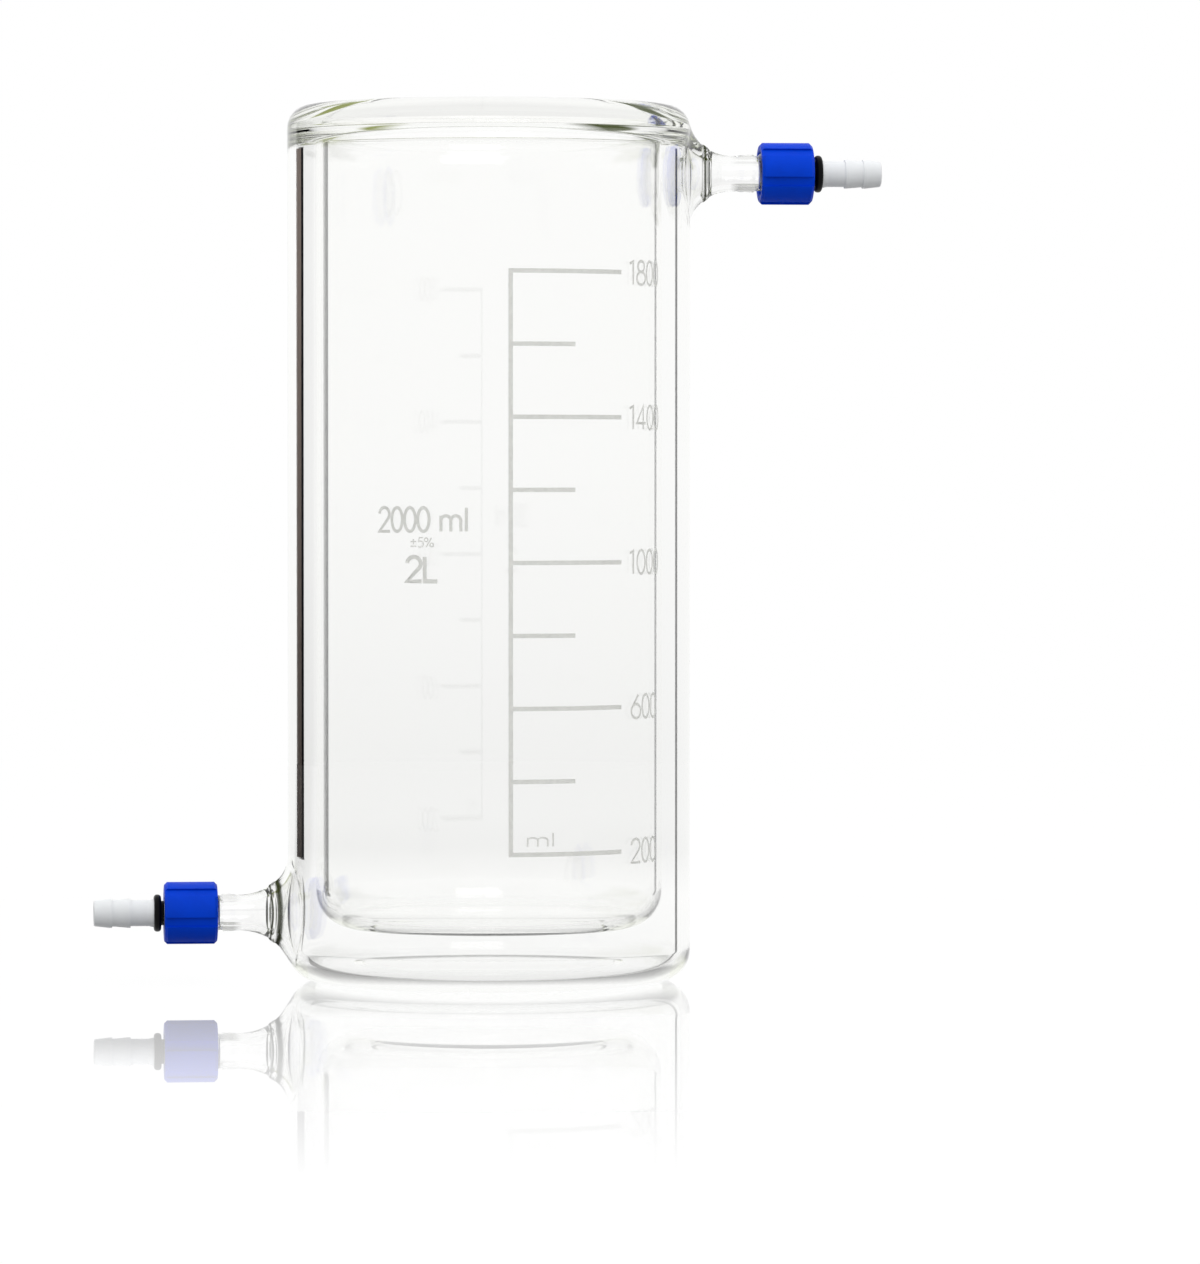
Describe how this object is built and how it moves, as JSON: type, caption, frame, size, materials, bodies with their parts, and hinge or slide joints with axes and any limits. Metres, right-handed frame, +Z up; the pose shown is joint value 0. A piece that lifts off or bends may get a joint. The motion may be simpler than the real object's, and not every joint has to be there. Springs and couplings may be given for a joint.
{
  "type": "jacketed beaker",
  "caption": "Tall double-walled glass beaker with a water jacket, two side arms and screw-on barbed hose connectors whose caps unscrew along their threads.",
  "frame": {"origin": "centre of the beaker's base, on the surface it stands on", "axes": "+Z up along the beaker's axis, +X along the upper side arm, -X along the lower side arm"},
  "size_m": [0.2514, 0.128, 0.278],
  "materials": {
    "glass": "clear polished",
    "cap_plastic": "satin moulded polybutylene",
    "nozzle_plastic": "natural polypropylene",
    "washer_rubber": "silicone",
    "ring_rubber": "black nitrile"
  },
  "bodies": {
    "glass_body": {"inner_vessel": "glass", "outer_jacket": "glass", "upper_side_arm": "glass", "lower_side_arm": "glass"},
    "upper_connector": {"upper_sealing_washer": "washer_rubber"},
    "upper_cap": {"upper_screw_cap": "cap_plastic"},
    "upper_nozzle": {"upper_hose_nozzle": "nozzle_plastic", "upper_retaining_ring": "ring_rubber"},
    "lower_connector": {"lower_sealing_washer": "washer_rubber"},
    "lower_cap": {"lower_screw_cap": "cap_plastic"},
    "lower_nozzle": {"lower_hose_nozzle": "nozzle_plastic", "lower_retaining_ring": "ring_rubber"}
  },
  "joints": [
    {"name": "upper_connector_travel", "type": "slide", "parent": "glass_body", "child": "upper_connector", "axis": [1, 0, 0], "range_m": [0, 0.0069]},
    {"name": "upper_cap_turn", "type": "hinge", "parent": "upper_connector", "child": "upper_cap", "pos_m": [0.0935, 0, 0.257], "axis": [1, 0, 0], "range_deg": [0, 990]},
    {"name": "upper_nozzle_swivel", "type": "hinge", "parent": "upper_connector", "child": "upper_nozzle", "pos_m": [0.0935, 0, 0.257], "axis": [1, 0, 0], "continuous": true},
    {"name": "lower_connector_travel", "type": "slide", "parent": "glass_body", "child": "lower_connector", "axis": [-1, 0, 0], "range_m": [0, 0.0069]},
    {"name": "lower_cap_turn", "type": "hinge", "parent": "lower_connector", "child": "lower_cap", "pos_m": [-0.0935, 0, 0.022], "axis": [-1, 0, 0], "range_deg": [0, 990]},
    {"name": "lower_nozzle_swivel", "type": "hinge", "parent": "lower_connector", "child": "lower_nozzle", "pos_m": [-0.0935, 0, 0.022], "axis": [-1, 0, 0], "continuous": true}
  ],
  "couplings": [
    {"joint": "upper_connector_travel", "follows": "upper_cap_turn", "m_per_rad": 0.00039789},
    {"joint": "lower_connector_travel", "follows": "lower_cap_turn", "m_per_rad": 0.00039789}
  ]
}
